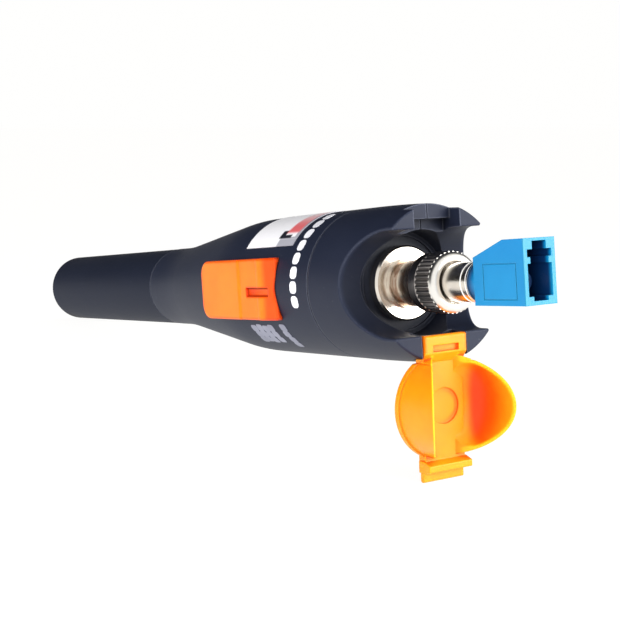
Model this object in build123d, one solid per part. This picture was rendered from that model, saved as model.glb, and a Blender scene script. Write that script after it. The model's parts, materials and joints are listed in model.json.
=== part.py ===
from build123d import *
import math
import os

# Pen-type visual fault locator with a hybrid fibre adapter screwed on its port.
# Every piece is drawn along the pen's own axis, X, with the tail at -X and the faces of the
# head's two jaws in the plane X = 0. The slide switch is on the -Y side and the cap's hinge is
# in the lower jaw. The last step stands the pen on its tail and on the tip of its open cap.
# All sizes are in millimetres.

# Running clearances
slide_gap = 0.10                # between pieces that slide or turn on each other
seat_gap = 0.05                 # between pieces that only come apart

# Body
pen_length = 173.0              # tail to the faces of the jaws
head_radius = 13.2
head_wall = 2.6
nose_draw = 0.4                 # how much the head draws in at the faces of the jaws
nose_blend = 14.0               # length over which it does
cone_start = -90.0              # where the neck opens into the cone
cone_end = -54.0                # where the cone meets the head
cone_rounding = 80.0
tube_joint = -99.2              # where the battery tube meets the neck
bezel_joint = -20.0             # where the bezel meets the housing
joint_groove = 0.3
bay_start = -62.0
bay_end = -23.8
bay_radius = head_radius - head_wall

# Battery tube and cells
tube_radius = 8.8
tube_wall = 1.4
tube_floor = 1.6
tail_rounding = 1.8
neck_radius = tube_radius + 0.05
battery_bore = tube_radius - tube_wall
spigot_wall = 0.75
spigot_radius = battery_bore + spigot_wall
spigot_length = 8.6
cell_radius = battery_bore - 0.2
cell_nub_radius = 2.75
cell_nub = 1.3
spring_room = 6.4               # between the tail's floor and the rear cell
gasket_thickness = 0.4
contact_ring_wall = 0.55
contact_ring_length = 1.2

# Jaws, scallops and port recess
jaw_upper = head_radius - 4.4    # height of the upper jaw's flat inner side above the axis
jaw_lower = head_radius - 4.95  # depth of the lower jaw's, below the axis
scallop_depth = 10.2
scallop_rounding = 0.3
recess_radius = head_radius - 5.2
recess_depth = 11.1
bezel_floor = 2.8               # plastic left behind the recess
bezel_wall = 1.5
laser_boss_wall = 1.6

# Latch notch in the upper jaw and hinge recess in the lower one
latch_half_width = 4.6
latch_upper_setback = 2.7
latch_lower_setback = 4.6
latch_step = head_radius - 2.75 # height of the step between the two rows
parting_line = 0.12
pin_radius = 0.55
pin_half_length = 5.9
pin_setback = 1.15              # behind the faces of the jaws
pin_drop = head_radius - 3.15    # below the axis, so that the shut cap is centred on it
knuckle_radius = 1.45
knuckle_half_width = 4.1
barrel_half_width = 3.3
knuckle_front = 1.5             # from the pin to the knuckle's flat front
knuckle_back = 0.3              # from the pin to the back of the front plate
knuckle_top = 1.75
knuckle_chin = 1.2              # where the front plate starts to slope back to the strap
knuckle_slot_half = 2.6
knuckle_slot_height = 1.1
knuckle_slot_depth = 0.6
hinge_recess_radius = 2.45      # room for the knuckle's corner to turn
hinge_recess_drop = 1.6         # how far below the pin that room goes
hinge_recess_half_width = 4.45

# Dust cap, given from its pin with the cap hanging straight down
cap_lean = 2.5                  # how far the open cap leans back, degrees
cup_flange_radius = head_radius - 4.3
cup_flange_front = 0.1
cup_flange_back = -0.85
cup_radius = cup_flange_radius - 0.3
cup_draft = 0.25                # how much the wall draws in towards its free edge
cup_wall = 0.6
cup_back = -1.4
cup_floor_front = 0.1
cup_floor_rounding = 3.6
cup_wall_reach = 9.17           # from the pin's plane to the tallest point of the wings
cup_cut_slope = 1.35
strap_half_width = 4.0
strap_front = 0.39
dimple_radius = 3.0
dimple_depth = 0.5
latch_bar_drop = pin_drop + head_radius - 3.4
latch_bar_half_width = 4.3
latch_bar_front = 1.9
latch_bar_height = 1.1
tip_half_width = 4.0
tip_front = -0.1
tip_back = -1.1
tip_reach = 2.55                # from the latch bar's crest to the tip
tip_rounding = 0.35
cup_chord = 2.75                # the cup's rim is flat where it passes the jaw

# Slide switch: a flat-topped button on the curved housing
button_rear = -60.0
button_front = -31.1
button_half_width = 5.65
button_height = 1.0             # of its flat top above the housing
button_corner = 2.9
button_front_corner = 0.7
button_edge = 0.4
button_ramp = 2.5               # slope at the front end
button_ramp_drop = 0.95
button_ridge_at = -36.0
button_ridge_width = 2.2
button_ridge_height = 0.4
button_step = -43.6             # where the flat rear part ends
button_step_depth = 0.3
groove_rear = -41.4
groove_front = -33.2
groove_width = 1.6
groove_depth = 0.8
groove_middle = -0.5
switch_travel = 4.0             # two steps of 2 mm, towards the head
stem_rear = -49.0
stem_length = 4.0
stem_half_width = 1.5
stem_foot = head_radius - 1.9
switch_case_length = 13.0
switch_case_half_width = 3.0
switch_case_top = head_radius - 3.3
switch_case_wall = 0.7
lever_half_width = 1.0
lever_length = 2.2
board_top = head_radius - 5.9
board_thickness = 1.2
board_gap = 0.4
board_half_width = math.sqrt(bay_radius ** 2 - board_top ** 2) - board_gap
board_rear = bay_start + 2.7
board_front = bay_end - 1.6
chip_size = (5.0, 1.4, 4.0)
chip_place = 8.1                # from the board's front edge
capacitor_radius = 2.4
capacitor_height = 2.4
capacitor_place = 3.4           # from the board's rear edge

# Contacts at the front of the battery
holder_thickness = 2.5
contact_radius = 3.5
contact_plate = 1.6
contact_pin_radius = 0.9
spring_wire = 0.45
spring_turns = 4
spring_foot_radius = battery_bore - 1.8
spring_top_radius = 3.2

# Laser module
laser_radius = 5.0
laser_rear = -34.0
laser_can_radius = 2.35
laser_can_length = 2.6
laser_can_seat = 3.2
laser_flange_radius = 2.8
laser_flange = 1.2
lens_radius = 2.5
lens_thickness = 2.0
lens_bulge = 0.7
lens_place = -25.5
retainer_length = 1.4
retainer_wall = 0.6
beam_radius = 1.4
set_screw_radius = 0.8
set_screw_at = -18.0

# Port
flange_radius = recess_radius - 1.6
flange_front = -9.2
port_radius = 3.95
port_front = -1.65
port_waist_radius = 3.45
port_waist_length = 1.5
port_collar_length = 0.9
port_collar_radius = 4.3
port_stub_radius = 3.2
port_mouth_radius = 2.7
port_mouth_depth = 2.2
ferrule_radius = 1.25
port_sleeve_wall = 0.4
port_sleeve_length = 7.0

# Hybrid adapter
nut_rear = -2.7
nut_front = 3.12                # where the knurl ends
nut_nose = 4.05                 # tip of the bright domed front
nut_radius = 5.0
nut_collar_radius = 4.85
nut_collar_length = 2.3
nut_front_hole = 3.45
nut_front_wall = 0.8
knurl_count = 36
knurl_depth = 0.32
adapter_radius = 3.15
adapter_front = 10.6
adapter_shoulder_radius = 3.75
adapter_shoulder_rear = 0.2
adapter_shoulder_front = 2.2
adapter_lip_radius = 3.3
adapter_lip = 0.45
adapter_bore = 2.55
adapter_groove_at = 8.9
ferrule_rear = -8.2
ferrule_front = 3.6
ferrule_holder_radius = 2.4
ferrule_holder_length = 4.4
coupling_spring_length = 3.2

# Receptacle for the small connector
shell_rear = 12.05
shell_front = 23.4
shell_half_width = 2.98
shell_bottom = -3.41
shell_rear_top = 3.85
shell_top = 6.28
shell_slope_end = 18.9
shell_neck_radius = 2.5
shell_collar_radius = 3.0
socket_rear = 13.6
socket_half_width = 2.3
socket_bottom = -2.15
socket_top = 2.6
latch_neck_half_width = 1.75
latch_neck_top = 3.55
latch_bar_slot_half_width = 2.3
latch_bar_slot_top = 4.65
latch_slot_half_width = 1.33
latch_slot_top = 5.85
key_half_width = 1.38
key_bottom = -2.8
panel_rear_inset = 2.15         # engraved frame on the flank, from the shell's edges
panel_front_inset = 1.73
panel_low_inset = 0.84
panel_high_inset = 1.0
panel_line = 0.18
panel_depth = 0.12
small_ferrule_radius = 0.625
small_sleeve_wall = 0.2
small_sleeve_front = 20.0
holder_wall = 0.55

# Label on the upper side
label_rear = -45.7
label_front = -28.2
label_half_angle = 55.0
label_thickness = 0.12


far = 4 * head_radius           # past everything, for cutting pieces


def block(x0, x1, y0, y1, z0, z1):
    return Pos((x0 + x1) / 2, (y0 + y1) / 2, (z0 + z1) / 2) * Box(x1 - x0, y1 - y0, z1 - z0)


def rod(x0, x1, radius):
    return Pos((x0 + x1) / 2, 0, 0) * Rot(0, 90, 0) * Cylinder(radius, x1 - x0)


def tube(x0, x1, outer, inner):
    return rod(x0, x1, outer) - rod(x0, x1, inner)


def turned(*outline):
    # A solid of revolution from its outline, given as places along the axis and radii
    return revolve(make_face(Polyline(*outline, close=True)), Axis.X)


def body_profile():
    # Outer outline of neck, cone and head, with rounded changes of slope
    corners = [(tube_joint, neck_radius), (cone_start, neck_radius), (cone_end, head_radius),
               (bezel_joint, head_radius)]
    return FilletPolyline(*corners, radius=cone_rounding)


def make_main_housing():
    front = bezel_joint - joint_groove
    outline = body_profile()
    end = outline @ 1
    start = outline @ 0
    base = Polyline(end, (bezel_joint, 0), (tube_joint, 0), start)
    body = revolve(make_face(outline + base), Axis.X)
    body -= block(front, bezel_joint + 1, -far, far, -far, far)
    body -= rod(tube_joint - 1, tube_joint + spigot_length + contact_ring_length, spigot_radius + seat_gap)
    body -= rod(tube_joint, bay_start, battery_bore)
    body -= rod(bay_start, bezel_joint, bay_radius)
    slot_side = stem_half_width + 0.3
    slot = block(stem_rear - 0.4, stem_rear + stem_length + switch_travel + 0.4, -far, 0, -slot_side, slot_side)
    body -= slot - rod(bay_start - 1, bezel_joint, bay_radius)
    return body


def nose_outline():
    # The head draws in gently from the joint to the faces of the jaws
    return ThreePointArc((-nose_blend, head_radius), (-nose_blend / 2, head_radius - nose_draw * 0.28),
                         (0, head_radius - nose_draw))


def edges_near(part, test):
    # Edges whose middle passes the test
    return [edge for edge in part.edges() if test(edge @ 0.5)]


def eased(part, test, radius):
    # Rounds the chosen edges, or leaves the part as it is where the rounding can't be made
    chosen = edges_near(part, test)
    if not chosen:
        return part
    try:
        softer = part.fillet(radius, chosen)
    except Exception:
        return part
    return softer if softer.is_valid and len(softer.solids()) == len(part.solids()) else part


def make_head_bezel():
    arc = nose_outline()
    spigot = bay_radius - seat_gap
    rim = Polyline((0, head_radius - nose_draw), (0, 0), (bay_end, 0), (bay_end, spigot),
                   (bezel_joint, spigot), (bezel_joint, head_radius), (-nose_blend, head_radius))
    bezel = revolve(make_face(arc + rim), Axis.X)
    # Scallops: one rounded channel that runs right across the head, with a round seat for the cap
    bend = (jaw_upper + jaw_lower) / 2
    middle_height = (jaw_upper - jaw_lower) / 2
    straight = scallop_depth - bend
    channel = block(-straight, 1, -far, far, -jaw_lower, jaw_upper)
    channel += Pos(-straight, 0, middle_height) * Rot(90, 0, 0) * Cylinder(bend, 2 * far)
    bezel -= channel
    bezel = eased(bezel, lambda middle: abs(middle.Y) > bend and -scallop_depth - 0.5 < middle.X < -0.2
                  and math.hypot(middle.Y, middle.Z) > head_radius - nose_draw - 0.1, scallop_rounding)
    bezel = eased(bezel, lambda middle: middle.X > -0.3 and abs(middle.Z) > jaw_lower - 0.1
                  and math.hypot(middle.Y, middle.Z) > head_radius - 1.5, 0.3)
    bezel -= rod(-pin_setback - cup_wall_reach - 0.3, 1, cup_radius + 0.2)
    floor_back = -recess_depth - bezel_floor
    bezel -= tube(bay_end - 1, floor_back, spigot - bezel_wall, laser_radius + laser_boss_wall)
    bezel -= rod(bay_end - 1, floor_back, laser_radius)
    bezel -= rod(floor_back - 1, 0, port_stub_radius)
    bezel -= rod(-recess_depth, 1, recess_radius)
    # Latch notch: an upper row and a deeper, undercut lower row, parted in the middle
    half = latch_half_width
    bezel -= block(-latch_upper_setback, 1, -half, half, latch_step, far)
    bezel -= block(-latch_lower_setback, 1, -half, half, jaw_upper - 1, latch_step)
    line = parting_line
    bezel -= block(-latch_upper_setback - line, 1, -line, line, latch_step, far)
    bezel -= block(-latch_lower_setback - line, 1, -line, line, jaw_upper - 1, latch_step)
    # Hinge recess, deeper above the pin than below it, where the cap's strap comes to rest
    stop = -pin_setback + cup_back - strap_stop_gap()
    turning = -pin_drop - hinge_recess_drop
    half = hinge_recess_half_width
    bezel -= block(-pin_setback - hinge_recess_radius, 1, -half, half, turning, -jaw_lower + 1)
    bezel -= block(stop, 1, -half, half, -far, turning)
    bezel -= Pos(-pin_setback, 0, -pin_drop) * Rot(90, 0, 0) * Cylinder(pin_radius, 2 * pin_half_length)
    for side in (1, -1):
        bezel -= set_screw_hole(side)
    return bezel


def strap_stop_gap():
    # How much further back the leaning strap reaches at the jaw's outer edge
    edge = head_radius - pin_drop
    return edge * math.tan(math.radians(cap_lean)) + slide_gap


def set_screw_hole(side):
    return Pos(set_screw_at, 0, side * (laser_radius + laser_boss_wall / 2)) * Cylinder(
        set_screw_radius, laser_boss_wall * 1.5)


def make_set_screws():
    screws = []
    for side in (1, -1):
        middle = laser_radius + laser_boss_wall / 2
        screw = Pos(set_screw_at, 0, side * middle) * Cylinder(set_screw_radius, laser_boss_wall)
        socket = Pos(set_screw_at, 0, side * (laser_radius + laser_boss_wall)) * extrude(
            RegularPolygon(set_screw_radius * 0.5, 6), amount=0.5, both=True)
        screw -= rod(laser_rear, bay_end + 12, laser_radius)
        screws.append(screw - socket)
    return Compound(children=[s.solid() for s in screws])


def make_battery_tube():
    shoulder = tube_joint - gasket_thickness - seat_gap
    outer = turned((-pen_length, 0), (-pen_length, tube_radius), (shoulder, tube_radius),
                   (shoulder, spigot_radius), (tube_joint + spigot_length, spigot_radius),
                   (tube_joint + spigot_length, 0))
    tail_edge = outer.edges().filter_by(GeomType.CIRCLE).group_by(Axis.X)[0]
    outer = fillet(tail_edge, tail_rounding)
    return outer - rod(-pen_length + tube_floor, 0, battery_bore)


def make_gasket():
    return tube(tube_joint - gasket_thickness, tube_joint, neck_radius - 0.2, spigot_radius + seat_gap)


def make_contact_ring():
    start = tube_joint + spigot_length + seat_gap
    end = tube_joint + spigot_length + contact_ring_length
    return tube(start, end, spigot_radius + seat_gap, spigot_radius + seat_gap - contact_ring_wall)


def cell_length():
    # Two cells share what the spring leaves between the tail's floor and the contact
    return (cell_front() + pen_length - tube_floor - spring_room) / 2


def cell_front():
    return bay_start - contact_plate


def make_cell(front):
    shoulder = front - cell_nub
    rear = front - cell_length()
    edge = 0.5
    return turned((rear, 0), (rear, cell_radius - edge), (rear + edge, cell_radius),
                  (shoulder - edge, cell_radius), (shoulder, cell_radius - edge),
                  (shoulder, cell_nub_radius), (front, cell_nub_radius), (front, 0))


def make_tail_spring():
    # Cone spring between the tail's floor and the rear cell
    foot = -pen_length + tube_floor + spring_wire
    top = cell_front() - 2 * cell_length() - spring_wire
    pitch = (top - foot) / spring_turns
    lean = math.degrees(math.atan((spring_foot_radius - spring_top_radius) / (top - foot)))
    path = Helix(pitch, top - foot, spring_foot_radius, cone_angle=-lean)
    section = Plane(path @ 0, z_dir=path % 0) * Circle(spring_wire)
    return Pos(foot, 0, 0) * Rot(0, 90, 0) * sweep(section, path, is_frenet=True)


def make_contact_holder():
    holder = rod(bay_start, bay_start + holder_thickness, bay_radius - seat_gap)
    return holder - rod(bay_start - 1, bay_start + holder_thickness + 1, contact_pin_radius)


def make_positive_contact():
    return turned((cell_front(), 0), (cell_front(), contact_radius), (bay_start, contact_radius),
                  (bay_start, contact_pin_radius), (bay_start + holder_thickness + 1, contact_pin_radius),
                  (bay_start + holder_thickness + 1, 0))


def make_circuit_board():
    return block(board_rear, board_front, -board_top, -board_top + board_thickness,
                 -board_half_width, board_half_width)


def make_driver_chip():
    long, high, wide = chip_size
    front = board_front - chip_place
    chip = block(front - long, front, -board_top - high, -board_top, -wide / 2, wide / 2)
    return chamfer(chip.edges().filter_by(Axis.Z).sort_by(Axis.Y)[:2], 0.3)


def make_capacitor():
    middle = board_rear + capacitor_place
    can = Pos(middle, -board_top - capacitor_height / 2, 0) * Rot(90, 0, 0) * Cylinder(
        capacitor_radius, capacitor_height)
    return fillet(can.edges().filter_by(GeomType.CIRCLE).sort_by(Axis.Y)[0], 0.4)


def switch_middle():
    return stem_rear + stem_length / 2 + switch_travel / 2


def make_switch_case():
    half = switch_case_length / 2
    wide = switch_case_half_width
    case = block(switch_middle() - half, switch_middle() + half, -switch_case_top, -board_top, -wide, wide)
    room = lever_length / 2 + switch_travel / 2 + slide_gap
    side = lever_half_width + slide_gap
    case -= block(switch_middle() - room, switch_middle() + room, -far, -board_top - switch_case_wall,
                  -side, side)
    return case


def lever_top():
    return head_radius - 0.6


def make_switch_lever():
    middle = stem_rear + stem_length / 2
    half = lever_length / 2
    bottom = -board_top - switch_case_wall - slide_gap
    return block(middle - half, middle + half, -lever_top(), bottom, -lever_half_width, lever_half_width)


def button_outline():
    # Rounded at the rear, nearly square at the front, seen from the side it is pushed from
    rear, front, half = button_rear, button_front, button_half_width
    flat = Polyline((rear, -half), (front, -half), (front, half), (rear, half), close=True)
    plan = Plane.XZ * make_face(flat)
    slab = extrude(plan, amount=far)
    corners = slab.edges().filter_by(Axis.Y)
    slab = fillet(corners.sort_by(Axis.X)[:2], button_corner)
    return fillet(slab.edges().filter_by(Axis.Y).group_by(Axis.X)[-1], button_front_corner)


def make_switch_button():
    # The top is flat across, and its profile along the pen is a ramp, a ridge and a rear flat
    top = head_radius + button_height
    low = head_radius + slide_gap
    deep = top - button_step_depth
    ridge = button_ridge_width / 2
    ramp = button_front - button_ramp
    profile = Polyline((button_rear, 0), (button_rear, -top), (button_step - 0.6, -top), (button_step, -deep),
                       (button_ridge_at - ridge, -deep),
                       (button_ridge_at - ridge / 3, -deep - button_ridge_height),
                       (button_ridge_at + ridge / 3, -deep - button_ridge_height),
                       (ramp, -deep), (button_front, -top + button_ramp_drop), (button_front, 0), close=True)
    slab = extrude(make_face(profile), amount=far, both=True) & button_outline()
    slab = eased(slab, lambda middle: middle.Y < -deep + 0.05 and (abs(middle.Z) > button_half_width - 1.5
                                                                   or middle.X < button_rear + 1.5), button_edge)
    slab -= rod(button_rear - 1, button_front + 1, low)
    slab -= block(groove_rear, groove_front, -far, -top + groove_depth,
                  groove_middle - groove_width / 2, groove_middle + groove_width / 2)
    stem = block(stem_rear, stem_rear + stem_length, -low - 0.3, -stem_foot, -stem_half_width, stem_half_width)
    middle = stem_rear + stem_length / 2
    half = lever_length / 2
    pocket = block(middle - half, middle + half, -lever_top(), 0, -lever_half_width, lever_half_width)
    return slab + stem - pocket


def make_laser_barrel():
    front = -recess_depth - bezel_floor
    barrel = rod(laser_rear, front, laser_radius)
    barrel -= rod(laser_rear - 1, laser_rear + laser_can_seat, laser_flange_radius)
    barrel -= rod(laser_rear, lens_place - lens_thickness / 2, laser_can_radius)
    barrel -= rod(lens_place - lens_thickness / 2, front - 4.0, lens_radius)
    return barrel - rod(laser_rear, front + 1, beam_radius)


def make_laser_diode():
    back = laser_rear + laser_can_seat - laser_flange
    step = back + laser_flange
    front = step + laser_can_length
    return turned((back, 0), (back, laser_flange_radius), (step, laser_flange_radius),
                  (step, laser_can_radius), (front, laser_can_radius), (front, 0))


def make_laser_lens():
    front = lens_place + lens_thickness / 2
    rim = lens_radius - retainer_wall
    ball = (rim ** 2 + lens_bulge ** 2) / (2 * lens_bulge)
    middle = front + lens_bulge - ball
    turn = math.asin(rim / ball) / 2
    dome = ThreePointArc((front, rim), (middle + ball * math.cos(turn), ball * math.sin(turn)),
                         (front + lens_bulge, 0))
    back = front - lens_thickness
    rest = Polyline((front + lens_bulge, 0), (back, 0), (back, lens_radius), (front, lens_radius),
                    (front, rim))
    return revolve(make_face(dome + rest), Axis.X)


def make_lens_retainer():
    start = lens_place + lens_thickness / 2
    return tube(start, start + retainer_length, lens_radius, lens_radius - retainer_wall)


def make_port_flange():
    back = -recess_depth
    edge = 0.35
    flange = turned((back, port_stub_radius), (back, flange_radius), (flange_front - edge, flange_radius),
                    (flange_front, flange_radius - edge), (flange_front, port_stub_radius))
    return flange


def make_port_barrel():
    # Turned barrel: collar on the flange, waist, then the threaded nose that the nut screws on
    rear = -recess_depth - bezel_floor
    collar = flange_front + port_collar_length
    waist = collar + port_waist_length
    edge = 0.4
    barrel = turned((rear, 0), (rear, port_stub_radius), (flange_front, port_stub_radius),
                    (flange_front, port_collar_radius), (collar, port_collar_radius),
                    (collar, port_waist_radius), (waist, port_waist_radius), (waist, port_radius),
                    (port_front - edge, port_radius), (port_front, port_radius - edge), (port_front, 0))
    sleeve_outer = ferrule_radius + port_sleeve_wall + seat_gap
    barrel -= rod(port_front - port_mouth_depth, port_front + 1, port_mouth_radius)
    barrel -= rod(port_front - port_mouth_depth - port_sleeve_length, port_front, sleeve_outer)
    return barrel - rod(rear - 1, port_front, beam_radius)


def make_port_sleeve():
    front = port_front - port_mouth_depth
    outer = ferrule_radius + port_sleeve_wall
    sleeve = tube(front - port_sleeve_length, front, outer, ferrule_radius + 0.02)
    return sleeve - block(front - 20, front + 1, 0, 5, -0.2, 0.2)


def place_cap(piece):
    # From the cap's own frame, pin at the origin, to its open place on the pen
    return Pos(-pin_setback, 0, -pin_drop) * Rot(0, cap_lean, 0) * piece


def cup_rod(x0, x1, radius):
    return Pos(0, 0, -pin_drop) * rod(x0, x1, radius)


def make_dust_cap():
    half = knuckle_half_width
    # Cup: flanged and rounded behind, with a drafted wall that grows out of a rounded floor
    free = cup_radius - cup_draft
    bend = cup_floor_rounding
    inner = cup_radius - cup_wall
    outer = turned((cup_back, 0), (cup_back, cup_radius - 0.6), (cup_flange_back, cup_flange_radius),
                   (cup_flange_front, cup_flange_radius), (cup_flange_front, cup_radius),
                   (cup_wall_reach + 1, free), (cup_wall_reach + 1, 0))
    floor = Polyline((30, 0), (cup_floor_front, 0), (cup_floor_front, inner - bend))
    corner = ThreePointArc((cup_floor_front, inner - bend),
                           (cup_floor_front + bend * (1 - math.sqrt(0.5)), inner - bend * (1 - math.sqrt(0.5))),
                           (cup_floor_front + bend, inner))
    side = Polyline((cup_floor_front + bend, inner), (30, inner - cup_draft), (30, 0))
    hollow = revolve(make_face(floor + corner + side), Axis.X)
    cup = Pos(0, 0, -pin_drop) * (outer - hollow)
    # Two slanting cuts leave the wall standing as two wings
    side = cup_radius + 1
    top = cup_wall_reach + cup_cut_slope
    foot = cup_radius - (cup_wall_reach - strap_front) / cup_cut_slope
    cut = Polyline((strap_front, foot), (top, side), (30, side), (30, -side), (top, -side),
                   (strap_front, -foot), close=True)
    cup -= Pos(0, 0, -pin_drop) * extrude(make_face(cut), amount=far, both=True)
    for rim in (1, -1):
        y0, y1 = sorted((rim * half, rim * far))
        cup -= block(cup_back - 1, 30, y0, y1, -cup_chord, far)
    cup = eased(cup, lambda middle: middle.X > strap_front + 0.6 and
                math.hypot(middle.Y, middle.Z + pin_drop) > free - cup_wall * 1.6, 0.15)
    # Strap from the knuckle to the tip, with the latch bar across it and a dimple over the port
    strap = block(cup_back, strap_front, -strap_half_width, strap_half_width, -latch_bar_drop, 0)
    strap -= cup_rod(strap_front - dimple_depth, 5, dimple_radius)
    tip = block(tip_back, tip_front, -tip_half_width, tip_half_width, -latch_bar_drop - tip_reach,
                -latch_bar_drop + 1)
    tip = fillet(tip.edges().filter_by(Axis.Y).group_by(Axis.Z)[0], tip_rounding)
    crest = latch_bar_height / 2
    wedge = Polyline((tip_back, -latch_bar_drop + crest + 0.5), (strap_front, -latch_bar_drop + crest + 0.5),
                     (latch_bar_front, -latch_bar_drop + crest), (latch_bar_front, -latch_bar_drop - crest),
                     (tip_front, -latch_bar_drop - crest - 0.3), (tip_back, -latch_bar_drop - crest - 0.3),
                     close=True)
    bar = extrude(Plane.XZ * make_face(wedge), amount=latch_bar_half_width, both=True)
    bar = fillet(bar.edges().filter_by(Axis.Y).group_by(Axis.X)[-1], 0.2)
    # Knuckle: a barrel round the pin behind a taller front plate with a moulded slot
    knuckle = Rot(90, 0, 0) * Cylinder(knuckle_radius, 2 * barrel_half_width)
    front = Polyline((knuckle_back, knuckle_top), (knuckle_front, knuckle_top), (knuckle_front, -knuckle_chin),
                     (strap_front + 0.1, -2.6), (knuckle_back, -2.6), close=True)
    plate = extrude(Plane.XZ * make_face(front), amount=half, both=True)
    plate = fillet(plate.edges().filter_by(Axis.Y).group_by(Axis.X)[-1], 0.4)
    knuckle += plate
    knuckle += block(cup_back, knuckle_back, -strap_half_width, strap_half_width, -2.3, 0)
    cap = cup + strap + tip + bar + knuckle
    slot_top = knuckle_slot_height * 0.15
    cap -= block(knuckle_front - knuckle_slot_depth, 5, -knuckle_slot_half, knuckle_slot_half,
                 slot_top - knuckle_slot_height, slot_top)
    cap -= Rot(90, 0, 0) * Cylinder(pin_radius + seat_gap, 20)
    return place_cap(cap)


def make_hinge_pin():
    pin = Rot(90, 0, 0) * Cylinder(pin_radius, 2 * pin_half_length)
    return Pos(-pin_setback, 0, -pin_drop) * pin


def knurled_face():
    # Ring of straight ridges in the plane across the axis
    step = 360 / knurl_count
    points = []
    for tooth in range(knurl_count):
        for share, radius in ((0, nut_radius - knurl_depth), (0.25, nut_radius - knurl_depth * 0.35),
                              (0.42, nut_radius), (0.62, nut_radius), (0.8, nut_radius - knurl_depth * 0.35)):
            angle = math.radians((tooth + share) * step)
            points.append((radius * math.cos(angle), radius * math.sin(angle)))
    return make_face(Polyline(*points, close=True))


def make_coupling_nut():
    knurl_start = nut_rear + nut_collar_length
    edge = 0.3
    nut = turned((nut_rear, 0), (nut_rear, nut_collar_radius - edge), (nut_rear + edge, nut_collar_radius),
                 (knurl_start - edge, nut_collar_radius), (knurl_start, nut_collar_radius - edge),
                 (knurl_start, 0))
    knurl = Plane.YZ.offset(knurl_start) * extrude(knurled_face(), amount=nut_front - knurl_start)
    nut += knurl
    # Domed front, bright and smooth, up to the hole for the adapter's sleeve
    low = nut_radius - 0.12
    hole = nut_front_hole
    dome = ThreePointArc((nut_front, low), ((nut_front + nut_nose) / 2 + 0.28, (low + hole) / 2 + 0.4),
                         (nut_nose, hole))
    back = Polyline((nut_nose, hole), (nut_nose, 0), (nut_front - 0.2, 0), (nut_front - 0.2, low),
                    (nut_front, low))
    nut += revolve(make_face(dome + back), Axis.X)
    thread = port_radius + slide_gap
    nut -= rod(nut_rear - 1, adapter_shoulder_rear, thread)
    nut -= rod(nut_rear, nut_front - nut_front_wall, adapter_shoulder_radius + slide_gap)
    return nut - rod(nut_rear, nut_nose + 1, nut_front_hole)


def make_adapter_body():
    # Nickel body: shoulder inside the nut, plain sleeve, turned line and a thin lip at the front
    neck = adapter_radius
    line = 0.12
    body = turned((adapter_shoulder_rear, 0), (adapter_shoulder_rear, adapter_shoulder_radius),
                  (adapter_shoulder_front, adapter_shoulder_radius), (adapter_shoulder_front, neck),
                  (adapter_groove_at - line, neck), (adapter_groove_at, neck + line),
                  (adapter_groove_at + line, neck), (adapter_front - adapter_lip, neck),
                  (adapter_front - adapter_lip, adapter_lip_radius), (adapter_front, adapter_lip_radius),
                  (adapter_front, 0))
    body -= rod(adapter_shoulder_rear + 1.2, adapter_front + 1, adapter_bore)
    return body - rod(adapter_shoulder_rear - 1, adapter_front, ferrule_radius + seat_gap)


def holder_rear():
    return adapter_shoulder_rear + 1.2


def make_adapter_ferrule():
    edge = 0.25
    return turned((ferrule_rear, 0), (ferrule_rear, ferrule_radius - edge), (ferrule_rear + edge, ferrule_radius),
                  (ferrule_front, ferrule_radius), (ferrule_front, 0))


def make_ferrule_holder():
    start = holder_rear()
    holder = rod(start, start + ferrule_holder_length, ferrule_holder_radius)
    return holder - rod(start - 1, ferrule_front, ferrule_radius)


def make_ferrule_spring():
    start = holder_rear() + ferrule_holder_length
    wire = 0.25
    length = shell_spigot_rear() - start - 2 * wire
    path = Helix(length / 4, length, 2.0)
    section = Plane(path @ 0, z_dir=path % 0) * Circle(wire)
    return Pos(start + wire, 0, 0) * Rot(0, 90, 0) * sweep(section, path, is_frenet=True)


def shell_spigot_rear():
    return holder_rear() + ferrule_holder_length + coupling_spring_length


def make_receptacle_shell():
    # Blue shell: flat flanks, raised front over the latch slot, and the stepped socket
    side = Polyline((shell_rear, shell_bottom), (shell_front, shell_bottom), (shell_front, shell_top),
                    (shell_slope_end, shell_top), (shell_rear, shell_rear_top), close=True)
    shell = extrude(Plane.XZ * make_face(side), amount=shell_half_width, both=True)
    shell += rod(shell_spigot_rear(), shell_rear + 1, shell_neck_radius)
    shell += rod(adapter_front + seat_gap, shell_rear + 1, shell_collar_radius)
    shell -= block(socket_rear, 30, -socket_half_width, socket_half_width, socket_bottom, socket_top)
    shell -= block(socket_rear, 30, -key_half_width, key_half_width, key_bottom, socket_top)
    shell -= block(socket_rear, 30, -latch_neck_half_width, latch_neck_half_width, 0, latch_neck_top)
    shell -= block(socket_rear + 4.5, 30, -latch_bar_slot_half_width, latch_bar_slot_half_width,
                   latch_neck_top, latch_bar_slot_top)
    shell -= block(socket_rear + 6.0, 30, -latch_slot_half_width, latch_slot_half_width,
                   latch_neck_top, latch_slot_top)
    # Tube inside the socket that holds the small alignment sleeve
    outer = small_ferrule_radius + small_sleeve_wall + holder_wall
    shell += rod(socket_rear - 0.5, small_sleeve_front, outer)
    shell -= rod(socket_rear, small_sleeve_front + 1, small_ferrule_radius + small_sleeve_wall)
    # Engraved frame on each flank
    for flank in (1, -1):
        shell -= flank_frame(flank)
    return shell


def flank_frame(flank):
    x0 = shell_rear + panel_rear_inset
    x1 = shell_front - panel_front_inset
    z0 = shell_bottom + panel_low_inset
    z1 = shell_rear_top - panel_high_inset
    y0, y1 = sorted((flank * (shell_half_width - panel_depth), flank * (shell_half_width + 1)))
    frame = block(x0, x1, y0, y1, z0, z1)
    return frame - block(x0 + panel_line, x1 - panel_line, y0 - 1, y1 + 1, z0 + panel_line, z1 - panel_line)


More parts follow.
